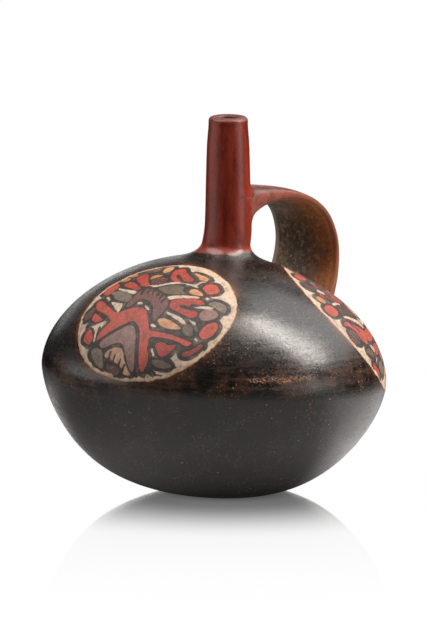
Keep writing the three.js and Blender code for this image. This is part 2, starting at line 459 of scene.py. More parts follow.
CELLS = [
    (CORAL, [(-39.5, 7.5), (-36.5, 8.8), (-29, 3.5), (-21, -1.6), (-16.5, 0.5), (-10, 2.8), (-4, 0.8),
        (0, -5), (4, -11), (12, -11), (20, -11.8), (27.5, -12.3), (25.5, -15.2), (20, -14), (12, -14.2),
        (5.2, -15.5), (8, -24), (8.8, -29), (7, -33.8), (4.2, -30), (1, -20), (-2, -12), (-5.5, -8),
        (-9, -7), (-15, -10.5), (-25.5, -18.5), (-26, -14), (-22.5, -9), (-22.5, -6.5), (-30, -1),
        (-36, 2)]),
    (CORAL, [(-36, -0.5), (-33.5, -2), (-30, -3.5), (-27.3, -6), (-30.5, -7.2), (-34, -6.5), (-36.2, -4)]),
    (RED, [(10, -18), (13, -16.6), (17, -17.2), (20.3, -16), (19, -21), (15.8, -24), (12.3, -22.5)]),
    (MAUVE, [(-23.5, -20), (-17, -14.8), (-12, -11.2), (-8.5, -9.5), (-5.5, -11), (-2.5, -16), (-0.5, -23),
        (1.5, -30), (2.2, -34.5), (-1, -33), (-4, -28), (-7.5, -22), (-11, -20.3), (-15, -21), (-19, -23),
        (-22, -22.8)]),
    (GREY, [(-28, -24), (-24, -23), (-19.8, -25.5), (-18.8, -29), (-17.5, -33), (-20, -33.5), (-24, -30.5),
        (-27, -27)]),
    (SHELL, [(-18.3, -27), (-15.5, -23.8), (-10, -22.8), (-7, -25), (-4.5, -29.5), (-1.5, -33.5),
        (0.5, -36), (-3.5, -36), (-6, -33), (-10, -30.5), (-15, -29.2)]),
    (UMBER, [(-15.5, -30.8), (-12, -32), (-8, -32.5), (-6.3, -35), (-8, -37), (-11.5, -36.8), (-15, -34)]),
    (GREY, [(-33.5, 14.5), (-31, 12.8), (-27, 8.8), (-20, 6.6), (-18, 7.5), (-17.8, 11), (-22, 13.5),
        (-29, 16)]),
    (PLUM, [(-17.7, 3.5), (-17, 8), (-16.3, 13), (-14, 17.3), (-10, 17.8), (-5, 16), (-1, 14.5), (2, 12.3),
        (5, 9), (5.8, 4), (5, -1), (3.6, -5.5), (1.5, -3), (-0.5, 2), (-3, 5.5), (-7, 8.2), (-11, 9),
        (-13, 6), (-15, 3)]),
    (CREAM, [(-11.6, 6.4), (-9, 6.6), (-8.6, 5.2), (-11.2, 4.7)]),
    (CREAM, [(-6.6, 4.6), (-3.5, 3), (-2.4, 1.2), (-5, 2.4)]),
    (CORAL, [(-41, 18), (-39, 22.5), (-36, 24.6), (-33, 23), (-32, 19.5), (-33.5, 15), (-36, 13.5),
        (-39.5, 15.5)]),
    (UMBER, [(-42.5, 0), (-40, 4.2), (-37.4, 3.5), (-37.4, 0), (-37.6, -3.5), (-40, -5), (-42.5, -3)]),
    (CORAL, [(-36.4, -15), (-34.5, -11.3), (-32.3, -12.5), (-29.8, -17), (-30.3, -20.8), (-33, -19.6),
        (-35.7, -17.8)]),
    (OCHRE, [(-34, 35.5), (-30, 35), (-26.3, 31.8), (-28.5, 30), (-33, 31), (-36, 32.6)]),
    (OCHRE, [(-36, 27.5), (-31.5, 29.3), (-28.8, 28), (-30, 25.6), (-34, 25.8)]),
    (RED, [(-25.3, 29), (-23.5, 32.7), (-21, 33.2), (-18.8, 30), (-16.6, 26), (-12.8, 21.6), (-12.3, 19.8),
        (-17, 20.2), (-20, 23), (-24, 26)]),
    (RED, [(-29.5, 22.3), (-27, 24.6), (-23.5, 23.5), (-20, 20.8), (-17.3, 18.8), (-16, 17.3), (-19, 16.8),
        (-25, 18.8), (-28.5, 20.3)]),
    (OLIVE, [(-28, 37.2), (-24.5, 40.5), (-20, 42), (-16, 40.4), (-15.3, 36.8), (-19, 34.5), (-24, 35)]),
    (PEACH, [(-14, 39.5), (-12.5, 41.8), (-9.8, 42), (-8.8, 39.5), (-9.2, 36), (-11, 34.4), (-13.6, 36)]),
    (OCHRE, [(-16.2, 30.5), (-14, 32), (-10.4, 31.6), (-11.5, 29.6), (-14.2, 28), (-15.4, 27)]),
    (MAROON, [(-14, 25), (-12.5, 27.9), (-9, 29.6), (-5.6, 28.4), (-5.4, 25), (-8, 22), (-11.5, 21.6)]),
    (RED, [(-6.7, 36.8), (-5, 40.2), (-2, 40.7), (0, 38), (4, 34.3), (8.7, 30.6), (7, 27.8), (3.5, 28.5),
        (0, 32), (-2.4, 34), (-2.6, 32), (-0.6, 29.6), (2.6, 27.4), (0.5, 26.4), (-3.5, 28), (-6, 32)]),
    (PEACH, [(5.5, 37.2), (9, 36.8), (14, 35.4), (16.7, 32.7), (12, 31.7), (9.3, 33.8)]),
    (CORAL, [(16.3, 27), (17.8, 30.3), (22, 30.6), (25.2, 27), (24.6, 23.5), (21, 21.8), (18.5, 23.6),
        (17, 24.3)]),
    (PEACH, [(11, 20.5), (12.5, 23), (16.5, 22.3), (19.6, 19.2), (15, 18.4), (12, 19)]),
    (OLIVE, [(-6.3, 19), (-2, 21.6), (3, 23.7), (7, 22.6), (8, 19.6), (11.7, 17.7), (8, 16.4), (3, 15),
        (-1, 15.6)]),
    (RED, [(6.3, 10.5), (10, 12.7), (15, 15.1), (20, 15.6), (23, 14), (21.5, 12.2), (16.8, 11), (17, 9),
        (12.8, 9.2), (12.6, 6.8), (17, 6.7), (22.8, 6.5), (22.6, 2.4), (19, 1.9), (12, 3.9), (8, 5),
        (6.8, 8)]),
    (GREY, [(25, 14.5), (26.5, 17.5), (30, 18.1), (33.6, 17), (35.2, 12.4), (32, 12.2), (28.5, 13.4)]),
    (MAUVE, [(24, 7), (26, 10.6), (30, 11.3), (33, 9), (31.6, 5.2), (28.2, 2.4), (25, 3.4)]),
    (CORAL, [(29, -5), (30, 0), (33.5, 3.8), (36.2, 1), (35.6, -4.5), (32.5, -8.2), (29.5, -7)]),
    (OLIVE, [(19.6, -4.5), (22, -2.4), (24.6, -4), (26.2, -8), (24, -9.4), (21, -8)]),
    (PEACH, [(5, -3.5), (8, -2.4), (13, -3.4), (17, -5), (18.7, -6.6), (14, -8.1), (9, -7.6), (6, -5.6)]),
    (BRICK, [(25, -18.7), (29, -16), (32, -11.3), (33.7, -12), (31.2, -17), (28, -20.2), (25.5, -20.7)]),
    (OLIVE, [(10.5, -27.2), (14, -26), (20, -26.4), (22, -28), (18, -29.7), (13, -29.5)]),
    (CREAM, [(-30.5, 18.8), (-24, 16.8), (-17.6, 15.2), (-17, 13.3), (-18.5, 12.6), (-24, 14.8),
        (-30, 17.2)]),
    (CREAM, [(-29.3, 7), (-24, 5.8), (-20.6, 5.2), (-19.7, 2), (-20, -1), (-21.2, -0.6), (-25, 3)]),
    (CREAM, [(-35.8, -9), (-31.5, -9.3), (-25.3, -6.4), (-24.4, -8.3), (-26.8, -12.5), (-26.8, -19.3),
        (-28.3, -19.6), (-29.4, -14), (-32.3, -10.6)]),
    (CREAM, [(3, 13), (10, 16.2), (18, 17.6), (18.3, 16.6), (11, 14.2), (6, 11.6), (4.4, 11)]),
    (CREAM, [(19.6, 9.6), (24, 12.2), (28.4, 12.9), (27, 11), (22, 9.2), (20, 8.8)]),
    (CREAM, [(7, 2.4), (12, 1.4), (17.5, -0.2), (20, -2.6), (18, -3), (13.5, -1.2), (8, 0.8)]),
    (CREAM, [(20.2, 0.4), (24.6, -0.2), (25.2, -2), (22.5, -1.2)]),
    (CREAM, [(2.8, -6.8), (6, -7.8), (5.6, -9), (3, -8.6)]),
    (CREAM, [(-13.2, 20.8), (-8, 19.6), (-3, 22.6), (2, 24.9), (7, 25.4), (14.2, 24.4), (12.8, 26.2),
        (13.6, 29.5), (15.4, 31.2), (12.4, 30.3), (11.3, 27), (6, 26.4), (-0.5, 25.6), (-5, 23.4),
        (-9, 21.2)]),
    (CREAM, [(8.4, -20.4), (11.4, -23.8), (10.4, -25.2), (8.6, -22.8)]),
    (CREAM, [(11, -31.2), (15, -33), (21, -32.2), (24, -29), (20.5, -31), (15, -31.6)]),
]

# The panel on the right: its left side is its own, and from there it is drawn like the first one.
SIDE_CELLS = [
    (CORAL, [(-15, 36), (-12.5, 38.8), (-8, 38.6), (-4, 37), (-3.4, 33.6), (-7, 32), (-12, 33.2)]),
    (UMBER, [(-24.3, 30.5), (-20.5, 33.4), (-16.5, 31.6), (-15.6, 28.4), (-19, 26.6), (-22.4, 27)]),
    (CREAM, [(-19.5, 25), (-16.2, 25.3), (-14.6, 22.4), (-16.4, 20.6), (-18.6, 22)]),
    (OCHRE, [(-30.8, 22.6), (-29, 24.8), (-26, 23.4), (-25.4, 20.4), (-28, 18.2), (-30.6, 19.6)]),
    (RED, [(-13.6, 27.4), (-11.6, 28.6), (-9.6, 24), (-6, 16.4), (-3.8, 11.8), (-7, 9.2), (-12, 11.6),
        (-16.4, 14.2), (-20.4, 18), (-23.4, 22.6), (-21.8, 23.8), (-18, 19.8), (-13.8, 17.4), (-11, 16.6),
        (-12.4, 21.4)]),
    (CREAM, [(-24.5, 15.4), (-19.5, 14.6), (-14.6, 11.8), (-15.8, 11), (-20, 12.8), (-24, 13.8)]),
    (CORAL, [(-38, 13.4), (-36.2, 18), (-30, 17.6), (-27, 15), (-28, 11.2), (-31, 9.8), (-35.4, 10.8)]),
    (MAROON, [(-24.6, 9.8), (-22, 12.2), (-18, 10.8), (-13, 8), (-9, 5.2), (-8, 2.2), (-13, 1), (-18, 3.4),
        (-22, 6)]),
    (CREAM, [(-29, 6.8), (-24, 5.4), (-18, 1), (-13, -1.8), (-13.8, -6.2), (-16, -5.6), (-20, -0.8),
        (-25, 3.2)]),
    (CORAL, [(-36, 4.4), (-32, 4.8), (-27, 1.2), (-22, -3.6), (-18, -7), (-13, -7.6), (-4, -8), (8, -9.6),
        (20, -11), (27.4, -12.2), (25, -15.2), (14, -14.4), (2, -14.8), (-8, -13.8), (-15, -14.2),
        (-21, -13), (-24, -11), (-27, -12.6), (-30, -10.4), (-31, -5.8), (-33, -1)]),
    (CREAM, [(-28.4, -7.4), (-26, -7.6), (-25.4, -9.4), (-27.6, -9)]),
    (PLUM, [(-39.8, -2.8), (-38, 0.4), (-34.2, -0.6), (-32.4, -4), (-33.2, -8), (-37, -8.4), (-39.6, -6)]),
    (OLIVE, [(-34, -15), (-31, -18.2), (-28, -20.6), (-26, -17.2), (-29, -14.6), (-32, -13.6)]),
    (CREAM, [(-25, -14.4), (-22, -14.6), (-20.4, -17.6), (-23, -19), (-24.6, -17)]),
    (CORAL, [(-21, -16.4), (-15, -15.8), (-10, -17), (-12.4, -20.4), (-17, -21.6), (-21.6, -20.6)]),
    (RED, [(-34.6, -22.8), (-31.4, -21.6), (-29.6, -25), (-26.4, -28), (-29.4, -30.4), (-33, -27.2)]),
    (GREY, [(-25, -25), (-19, -24.4), (-15, -25.6), (-17, -30.6), (-22, -31.6), (-24.6, -29)]),
    (MAUVE, [(-13, -23), (-7, -17.6), (2, -17.2), (7.6, -19.6), (6.6, -25), (0, -23.6), (-7, -27.6),
        (-11.6, -27)]),
    (SHELL, [(-11, -31.4), (-4, -28), (4, -28.6), (6, -32), (0, -35.2), (-7, -35)]),
    (PEACH, [(-6, 6), (0, 8.4), (3.6, 5), (1.4, 0.6), (-4.6, -1.4), (-6.4, 2)]),
    (GREY, [(-2, 15.6), (3, 19), (7.4, 17.4), (5.6, 13.4), (0.4, 12.6)]),
    (MAROON, [(-5, 28.4), (2, 29.6), (7.6, 26), (4, 22.4), (-1, 21.6), (-4.8, 24)]),
    (RED, [(-1.2, 36.2), (2, 39.6), (6, 36), (8.8, 30.6), (4.6, 32), (0.6, 32.4)]),
]
SIDE_CELLS += [cell for cell in CELLS if min(u for u, v in cell[1]) > 4.8]

# Free black strokes: from, to, and half their width.
STROKES = [
    ((-14.6, -29.6), (-14.6, -25.4), 0.6), ((-11.6, -30.4), (-11.1, -26.8), 0.6),
    ((-7.6, -31.6), (-7.3, -29.0), 0.55), ((-4.6, -34.6), (-4.2, -31.4), 0.6),
    ((-13.6, 17.6), (-13.0, 12.6), 0.6), ((-10.6, 17.6), (-9.8, 13.4), 0.55),
    ((-7.4, 17.0), (-6.6, 13.2), 0.6), ((-3.6, 15.6), (-3.4, 12.2), 0.55),
    ((-0.6, 14.6), (-0.9, 10.6), 0.6), ((2.2, 12.0), (1.4, 8.0), 0.55),
    ((-33.0, -1.2), (-23.5, -7.6), 0.75), ((13.2, 8.0), (21.5, 8.2), 0.8),
    ((9.5, -16.2), (16.2, -15.6), 0.75), ((6.4, -20.5), (10.0, -25.6), 0.7),
    ((11.0, -30.5), (15.6, -34.4), 0.8), ((8.6, -33.4), (8.2, -37.0), 0.8),
    ((12.0, -30.8), (21.5, -30.4), 0.7), ((22.0, -15.5), (24.4, -19.6), 0.9),
    ((26.3, 28.6), (27.0, 24.0), 0.7), ((22.5, 19.6), (25.5, 18.4), 0.7),
    ((-30.0, 37.0), (-33.0, 33.8), 0.8), ((4.4, -36.2), (2.4, -33.4), 0.7),
    ((-27.6, -10.8), (-26.6, -20.5), 0.7), ((15.8, 33.6), (20.0, 31.4), 0.7),
]
SIDE_STROKES = [
    ((-22.6, 31.4), (-21.2, 27.6), 0.55), ((-19.8, 32.4), (-18.6, 27.6), 0.55),
    ((-17.2, 31.0), (-16.6, 28.6), 0.5), ((-20.6, 20.8), (-17.4, 16.2), 0.6),
    ((-16.4, 18.6), (-12.6, 12.6), 0.55), ((-11.8, 24.6), (-7.6, 19.2), 0.6),
    ((-20.4, 10.9), (-19.4, 4.6), 0.55), ((-17.2, 10.0), (-16.2, 3.2), 0.55),
    ((-13.8, 8.0), (-13.0, 2.2), 0.5), ((-34.6, 2.6), (-30.6, -3.2), 0.6),
    ((-28.6, 1.8), (-25.2, -4.8), 0.6), ((-38.4, -1.6), (-37.2, -7.4), 0.5),
    ((-35.8, -1.2), (-34.6, -7.4), 0.5),
]


def to_segments(spots, starts, stops):
    """Least distance from each spot to a set of segments."""
    best = np.full(len(spots), 1e9)
    for a, b in zip(starts, stops):
        d = b - a
        t = np.clip(((spots - a) @ d) / (d @ d), 0, 1)
        gap = spots - a - t[:, None] * d
        best = np.minimum(best, np.hypot(gap[:, 0], gap[:, 1]))
    return best


def inside(spots, outline):
    """Which spots are inside an outline, by how often a level line from each crosses it."""
    result = np.zeros(len(spots), bool)
    for (ax, ay), (bx, by) in zip(outline, np.roll(outline, -1, 0)):
        if ay == by:
            continue
        crosses = (ay > spots[:, 1]) != (by > spots[:, 1])
        result ^= crosses & (spots[:, 0] < ax + (spots[:, 1] - ay) * (bx - ax) / (by - ay))
    return result


def linear(colour):
    """A colour of three values from 0 to 255, in linear light."""
    c = np.array(colour, float) / 255
    return np.where(c <= 0.04045, c / 12.92, ((c + 0.055) / 1.055) ** 2.4)


def draw(spots, cells, strokes):
    """Blackness in millimetres, above zero where the line is black, and the colour under it."""
    beyond = np.full(len(spots), 1e9)
    colour = np.tile(linear(CREAM), (len(spots), 1))
    for paint, points in cells:
        outline = catmull(points, 3, closed=True)
        low, high = outline.min(0) - 6, outline.max(0) + 6
        near = np.flatnonzero(((spots > low) & (spots < high)).all(1))
        away = to_segments(spots[near], outline, np.roll(outline, -1, 0))
        away[inside(spots[near], outline)] *= -1
        closer = away < beyond[near]
        beyond[near[closer]] = away[closer]
        colour[near[closer & (away < LINE_WIDTH / 2)]] = linear(paint)
    ink = np.where(beyond < 0, beyond, np.minimum(beyond, LINE_WIDTH - beyond))
    for start, stop, half in strokes:
        away = to_segments(spots, [np.array(start)], [np.array(stop)])
        ink = np.maximum(ink, half - away)
    return ink, colour


def panel_axes(panel):
    """A panel's middle on the body, and its directions across and up."""
    down, around = panel["down"], panel["round"]
    centre = on_body(down, around)
    across = on_body(down, around + 0.1) - on_body(down, around - 0.1)
    up = on_body(down - 0.1, around) - on_body(down + 0.1, around)
    across /= np.linalg.norm(across)
    out = np.cross(across, up)
    up = np.cross(out / np.linalg.norm(out), across)
    return centre, across, up


def panel_spots(p, panel):
    """Points laid flat in a panel: their distance from its middle is kept."""
    centre, across, up = panel_axes(panel)
    gap = p - centre
    flat = np.stack([gap @ across, gap @ up], -1)
    size = np.linalg.norm(flat, axis=1)
    return flat * (np.linalg.norm(gap, axis=1) / np.maximum(size, 1e-6))[:, None]


def panel_fields(p):
    """How far each point is inside the nearest panel's edge, and the drawing there."""
    depth = np.full(len(p), OFF_PANEL)
    ink = np.full(len(p), OFF_DRAWING)
    colour = np.tile(linear(CREAM), (len(p), 1))
    for panel in PANELS:
        spots = panel_spots(p, panel)
        offset = spots - np.array(panel["offset"])
        around = np.arctan2(offset[:, 1], offset[:, 0])
        wave = panel["warp"]
        uneven = 0.5 * np.sin(2 * around + 1 + wave) + 0.35 * np.sin(5 * around + 2 * wave)
        edge = panel["radius"] + uneven - np.linalg.norm(offset, axis=1)
        here = np.flatnonzero(edge > -6)
        turn = math.radians(panel["turn"])
        q = spots[here] @ np.array([[math.cos(turn), math.sin(turn)], [-math.sin(turn), math.cos(turn)]])
        q = q + 1.4 * min(wave, 1) * np.sin(q[:, ::-1] / 9 + np.array([wave, 2.1 * wave]))
        cells, strokes = (SIDE_CELLS, SIDE_STROKES) if panel["side"] else (CELLS, STROKES)
        ink[here], colour[here] = draw(q, cells, strokes)
        depth = np.maximum(depth, edge)
    return depth, ink, colour


def needs_detail(p):
    """Picks the places of the outer surface that get small faces: the panels and the strap's joints."""
    flat = p.reshape(-1, 3)
    chosen = from_strap(flat) < STRAP_DETAIL
    for panel in PANELS:
        offset = panel_spots(flat, panel) - np.array(panel["offset"])
        chosen |= np.linalg.norm(offset, axis=1) < panel["radius"] + PANEL_DETAIL
    return chosen.reshape(p.shape[:-1])


def make_bottle():
    """The bottle's mesh, and the fields on it that its finish reads."""
    piece = lathe("bottle", OUTER, COLUMNS, ROW_STEP, needs_detail)
    combine(piece, make_strap(), "UNION")
    cavity = lathe("cavity_blank", cavity_profile(), CAVITY_COLUMNS, CAVITY_ROW_STEP)
    combine(piece, cavity, "DIFFERENCE")
    mesh = piece.data
    p = np.empty(len(mesh.vertices) * 3)
    mesh.vertices.foreach_get("co", p)
    p = p.reshape(-1, 3) / MM
    body = from_body(p)
    within = body < -WALL / 2
    joints = np.flatnonzero(~within & (p[:, 2] > JOINTS_ABOVE))
    p[joints] = fill_joints(p[joints], FILLET_REACH)
    rise = np.where(within, UNDER_SKIN, from_body(p))
    depth, ink, colour = panel_fields(p)
    normal = np.empty(len(p) * 3)
    mesh.vertices.foreach_get("normal", normal)
    amount = np.where(within, 0, swell(p)) * smoothstep(*SWELL_FROM, p[:, 2])
    k, across, sunk = strap_place(p)
    p += normal.reshape(-1, 3) * amount[:, None]
    outside = ~within
    p[outside, 2] = np.maximum(p[outside, 2], 0)
    toward = p[:, 0] * RIM_LOW_SIDE[0] + p[:, 1] * RIM_LOW_SIDE[1] + SPOUT_SIDE[-1][0]
    p[:, 2] -= RIM_SLOPE * toward * smoothstep(*RIM_SLOPE_FROM, p[:, 2])
    mesh.vertices.foreach_set("co", (p * MM).ravel())
    attribute(mesh, "panel", np.where(outside, depth, OFF_PANEL))
    attribute(mesh, "ink", ink)
    attribute(mesh, "rise", rise)
    attribute(mesh, "strap", STATIONS[0][k])
    attribute(mesh, "strap_under", sunk / STATION_SIZES[1][k])
    attribute(mesh, "strap_across", across / STATION_SIZES[0][k] * 2)
    attribute(mesh, "inside", within.astype(float))
    paint = mesh.attributes.new("paint", "FLOAT_COLOR", "POINT")
    paint.data.foreach_set("color", np.hstack([colour, np.ones((len(p), 1))]).ravel())
    drop_fins(mesh)
    mesh.shade_smooth()
    mesh.update()
    return piece


def attribute(mesh, name, values):
    mesh.attributes.new(name, "FLOAT", "POINT").data.foreach_set("value", values.astype(np.float32))


# Shader graphs.

class Graph:
    """Short calls that add shader nodes and give back what comes out of them."""

    def __init__(self, owner):
        self.owner = owner
        owner.use_nodes = True
        self.tree = owner.node_tree
        self.tree.nodes.clear()
        self.places = self.add("ShaderNodeTexCoord").outputs
        self.object = self.places["Object"]

    def add(self, kind, inputs=(), **settings):
        node = self.tree.nodes.new(kind)
        for key, value in settings.items():
            setattr(node, key, value)
        for key, value in dict(inputs).items():
            if isinstance(value, bpy.types.NodeSocket):
                self.tree.links.new(value, node.inputs[key])
            else:
                node.inputs[key].default_value = value
        return node

    def field(self, name):
        return self.add("ShaderNodeAttribute", attribute_name=name).outputs["Fac"]

    def math(self, operation, a, b=0.0):
        return self.add("ShaderNodeMath", {0: a, 1: b}, operation=operation).outputs[0]

    def vector(self, operation, a, b=(0, 0, 0), result="Vector"):
        return self.add("ShaderNodeVectorMath", {0: a, 1: b}, operation=operation).outputs[result]

    def xyz(self, x, y, z=0.0):
        return self.add("ShaderNodeCombineXYZ", {0: x, 1: y, 2: z}).outputs[0]

    def times(self, a, b):
        return self.math("MULTIPLY", a, b)

    def plus(self, a, b):
        return self.math("ADD", a, b)

    def invert(self, a):
        return self.math("SUBTRACT", 1.0, a)

    def sway(self, field, amount):
        """A noise field made to swing about nought."""
        return self.times(self.plus(field, -0.5), amount)

    def ramp(self, value, low, high, bottom=0.0, top=1.0):
        return self.add("ShaderNodeMapRange", {"Value": value, "From Min": low, "From Max": high,
                                               "To Min": bottom, "To Max": top},
                        interpolation_type="SMOOTHSTEP").outputs[0]

    def noise(self, per_metre, detail=3.0, rough=0.55, stretch=(1, 1, 1)):
        place = self.add("ShaderNodeMapping", {"Vector": self.object, "Scale": stretch}).outputs[0]
        return self.add("ShaderNodeTexNoise", {"Vector": place, "Scale": per_metre, "Detail": detail,
                                               "Roughness": rough}).outputs[0]

    def dots(self, per_metre, core, edge, where):
        """Scattered round dots where a field has them, whole to one radius and gone at another."""
        points = self.add("ShaderNodeTexVoronoi", {"Vector": self.object, "Scale": per_metre})
        return self.times(self.invert(self.ramp(points.outputs["Distance"], core, edge)), where)

    def mix(self, share, a, b):
        """A mix of two colours, each a socket or three values from 0 to 255."""
        a, b = [value if isinstance(value, bpy.types.NodeSocket) else (*linear(value), 1) for value in (a, b)]
        return self.add("ShaderNodeMix", {0: share, 6: a, 7: b}, data_type="RGBA").outputs[2]

    def coat(self, under, colour, where, share):
        """A colour laid over another one where a field says, up to a share."""
        return self.mix(self.times(where, share), under, colour)

    def blend(self, share, a, b):
        return self.add("ShaderNodeMix", {0: share, 2: a, 3: b}, data_type="FLOAT").outputs[0]

    def finish(self, shader, output="ShaderNodeOutputMaterial"):
        """Ends the graph in a shader and gives back what it belongs to."""
        self.add(output, {0: shader.outputs[0]})
        return self.owner


# How deep the surface's bump is, in metres, and how strongly the burnished slip reflects.
RELIEF = 0.00009
SLIP_IOR = 1.6


def bottle_finish():
    g = Graph(bpy.data.materials.new("slipped_clay"))
    place = g.add("ShaderNodeSeparateXYZ", {0: g.object})
    x, y, z = place.outputs
    panel, ink = g.field("panel"), g.field("ink")
    strap, under, across = g.field("strap"), g.field("strap_under"), g.field("strap_across")
    inside_pot = g.field("inside")
    paint = g.add("ShaderNodeAttribute", attribute_name="paint").outputs["Color"]
    clouds = g.noise(28, 3)
    patches = g.noise(90, 4, 0.6)
    mottle = g.noise(260, 4, 0.65)
    grain = g.noise(900, 3, 0.6)
    fine = g.noise(2600, 2, 0.5)
    on_strap = g.ramp(g.plus(g.field("rise"), g.sway(patches, 1.6)), 0.5, 0.9)
    level_streaks = g.noise(60, 4, 0.6, (1, 1, 9))
    upright_streaks = g.noise(260, 4, 0.6, (1, 1, 0.09))

    # Black slip: cloudy, a little brown in places, with thin level streaks and fine dust in its grain.
    black = g.mix(g.ramp(clouds, 0.35, 0.7), (16, 13, 11), (25, 21, 19))
    black = g.coat(black, (42, 31, 25), g.ramp(patches, 0.48, 0.72), 0.5)
    black = g.coat(black, (54, 45, 39), g.ramp(level_streaks, 0.54, 0.72), 0.35)
    black = g.coat(black, (64, 50, 41), g.ramp(mottle, 0.54, 0.7), 0.4)
    dusty = g.plus(g.ramp(patches, 0.35, 0.7, 0.15, 0.6), g.times(g.ramp(z, 0.07, 0.085), 0.2))
    black = g.coat(black, (92, 74, 62), g.ramp(grain, 0.55, 0.68), dusty)

    # Rust-brown scorch round the panels and on the shoulder.
    beside = g.ramp(g.plus(panel, g.times(patches, 9)), -4, 4.5)
    black = g.coat(black, (66, 41, 28), beside, 0.5)
    rim_glow = g.times(g.ramp(g.plus(panel, g.times(mottle, 3)), -1.2, 1.4), g.ramp(patches, 0.42, 0.66))
    black = g.coat(black, (132, 78, 48), rim_glow, 0.65)
    shoulder_blush = g.times(g.ramp(g.noise(36, 3), 0.5, 0.68), g.ramp(z, 0.07, 0.1))
    black = g.coat(black, (78, 50, 38), shoulder_blush, 0.35)

    # A darker band round the widest ring, painted near-black as shade below the highlight on the worn side,
    # and a thin worn line with scattered scratches above it.
    heading = g.vector("NORMALIZE", g.xyz(x, y))
    toward_wear_and_shade = g.vector("DOT_PRODUCT", heading, polar(52, 0), "Value")
    line_height = g.plus(g.times(x, 0.03), 0.0709)
    height_off = g.math("ABSOLUTE", g.math("SUBTRACT", g.plus(z, g.times(patches, 0.006)), line_height))
    band = g.invert(g.ramp(height_off, 0.003, 0.013))
    # Painted shade: near-black laid into the band below the highlight, most towards the worn side.
    painted_shade_share = g.times(g.ramp(mottle, 0.35, 0.6, 0.7, 0.2), g.ramp(toward_wear_and_shade, 0.5, 0.9, 0.2, 1.0))
    black = g.coat(black, (14, 11, 9), band, painted_shade_share)
    browned = g.times(band, g.ramp(g.plus(level_streaks, patches), 0.9, 1.14))
    black = g.coat(black, (80, 53, 37), browned, 0.7)
    scratched = g.noise(800, 5, 0.75, (1, 1, 1.8))
    close = g.ramp(toward_wear_and_shade, 0.97, 0.992)
    worn = g.times(g.invert(g.ramp(height_off, 0.0003, 0.0021)), g.ramp(scratched, 0.5, 0.57))
    around_worn = g.times(g.invert(g.ramp(height_off, 0.003, 0.0085)), g.ramp(scratched, 0.59, 0.66))
    worn = g.times(g.math("MAXIMUM", worn, g.times(around_worn, 0.7)), close)
    black = g.coat(black, (204, 134, 94), worn, 0.95)
    scattered = g.times(g.ramp(g.noise(30, 2), 0.6, 0.68), g.ramp(scratched, 0.59, 0.65))
    black = g.coat(black, (150, 92, 66), scattered, g.ramp(z, 0.075, 0.09, 0.0, 0.7))

    # Tan specks where the slip is pitted through.
    specks = g.dots(640, 0.1, 0.24, g.ramp(g.noise(90, 4, 0.7), 0.46, 0.6))
    black = g.coat(black, (168, 112, 80), specks, g.ramp(z, 0.06, 0.08, 0.75, 0.5))
    pits = g.dots(210, 0.07, 0.12, g.ramp(g.noise(40, 2), 0.48, 0.58))
    black = g.coat(black, (188, 128, 86), pits, g.ramp(z, 0.06, 0.075, 0.85, 0.4))

    # Red slip of the spout and of the strap's outer face, with a painted orange glow on the spout's handle
    # side and a painted highlight at its foot.
    red = g.mix(g.ramp(upright_streaks, 0.35, 0.68), (112, 29, 12), (148, 46, 24))
    red = g.coat(red, (150, 60, 38), g.ramp(patches, 0.45, 0.75), 0.3)
    red = g.coat(red, (74, 21, 10), g.ramp(mottle, 0.5, 0.34), 0.4)
    # Painted light: an orange glow on the spout's side towards the handle, standing in for light reflected
    # there.
    handle_side = g.plus(g.times(x, 0.77), g.times(y, 0.64))
    glow = g.times(g.ramp(handle_side, 0.0065, 0.011), g.ramp(z, 0.195, 0.165))
    red = g.coat(red, (158, 42, 8), glow, 0.7)
    red = g.coat(red, (160, 84, 64), g.ramp(grain, 0.52, 0.7), 0.3)
    red_edge = g.plus(z, g.plus(g.times(clouds, 0.003), g.times(patches, 0.0016)))
    on_spout = g.ramp(red_edge, 0.1286, 0.1291)
    rim = g.ramp(g.plus(z, g.times(mottle, 0.002)), 0.1945, 0.1972)
    red = g.coat(red, (98, 54, 40), rim, 0.75)
    from_axis = g.vector("LENGTH", g.xyz(x, y), result="Value")
    mouth = g.ramp(g.plus(from_axis, g.times(mottle, 0.001)), 0.0074, 0.0062)
    mouth = g.times(mouth, g.ramp(z, 0.19, 0.193))
    red = g.coat(red, (84, 44, 30), mouth, 0.7)
    # Painted highlight: pale pink, mottled, at the bottom of the red spout.
    foot_painted_highlight = g.times(g.invert(g.ramp(z, 0.1265, 0.132)), g.ramp(mottle, 0.3, 0.7))
    red = g.coat(red, (176, 98, 80), foot_painted_highlight, 0.6)

    # The strap: red outside, its edges paler and then orange, its inner face olive brown with pale streaks;
    # the far edge's paleness is a painted highlight, the inner face is painted darker near the root as shade,
    # and the root's lower side is painted lighter as a highlight.
    along = g.xyz(x, g.times(strap, 0.1), g.times(under, 0.007))
    scrapes = g.add("ShaderNodeTexNoise", {"Vector": along, "Scale": 480, "Detail": 6.0,
                                           "Roughness": 0.75, "Distortion": 0.6}).outputs[0]
    brown = g.mix(g.ramp(g.noise(60, 4, 0.6), 0.35, 0.7), (62, 41, 15), (112, 71, 25))
    brown = g.coat(brown, (166, 90, 24), g.ramp(across, -0.1, 0.75), 0.75)
    brown = g.coat(brown, (158, 130, 94), g.ramp(scrapes, 0.55, 0.61), 0.8)
    brown = g.coat(brown, (30, 20, 10), g.ramp(scrapes, 0.47, 0.38), 0.75)
    flakes = g.noise(170, 5, 0.75)
    flaked = g.ramp(across, 0.8, 0.2, 0.2, 0.7)
    brown = g.coat(brown, (122, 96, 66), g.ramp(flakes, 0.53, 0.6), flaked)
    brown = g.coat(brown, (164, 136, 100), g.ramp(mottle, 0.56, 0.62), 0.6)
    brown = g.coat(brown, (150, 120, 84), g.ramp(grain, 0.58, 0.68), 0.35)
